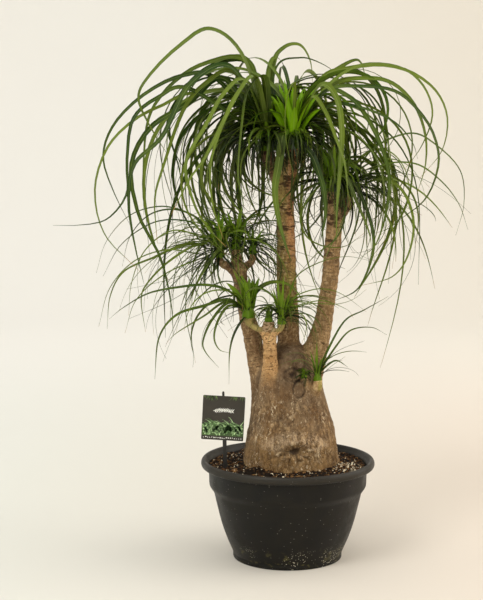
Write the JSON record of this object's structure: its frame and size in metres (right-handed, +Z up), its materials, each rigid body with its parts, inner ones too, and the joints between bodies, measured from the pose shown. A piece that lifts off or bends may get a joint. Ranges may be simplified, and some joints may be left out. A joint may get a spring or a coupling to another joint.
{
  "type": "potted ponytail palm",
  "caption": "Potted ponytail palm: swollen grey-brown trunk that branches into upright stems with arching strap leaves, in a round black nursery pot of soil with a small plant label.",
  "frame": {"origin": "middle of the flat underside of the pot", "axes": "+Z up the trunk, -Y towards the front of the plant, where the label stands at its left"},
  "size_m": [0.7464, 0.4374, 0.9939],
  "materials": {
    "pot_plastic": "near-black matte plastic with dust",
    "soil": "dark crumbly potting soil with white perlite and bark bits",
    "bark": "dry grey-brown bark with cracks and leaf scars",
    "leaf": "smooth green strap leaves, satin",
    "young_leaf": "fresh light green leaves, satin",
    "stake_plastic": "dark matte plastic",
    "label_card": "dark printed card with a green leaf pattern"
  },
  "bodies": {
    "root": {"pot": "pot_plastic", "soil": "soil", "trunk": "bark", "label_stake": "stake_plastic", "label_card": "label_card", "crown_centre": "leaf", "crown_left": "leaf", "crown_right_front": "leaf", "crown_right_back": "leaf", "crown_low_left_outer": "leaf", "crown_low_left_middle": "leaf", "crown_low_left_inner": "leaf", "shoot_stub_left": "young_leaf", "shoot_stub_right": "young_leaf", "shoot_stub_top": "young_leaf", "shoot_base_front": "young_leaf", "shoot_base_side": "young_leaf"}
  },
  "joints": []
}
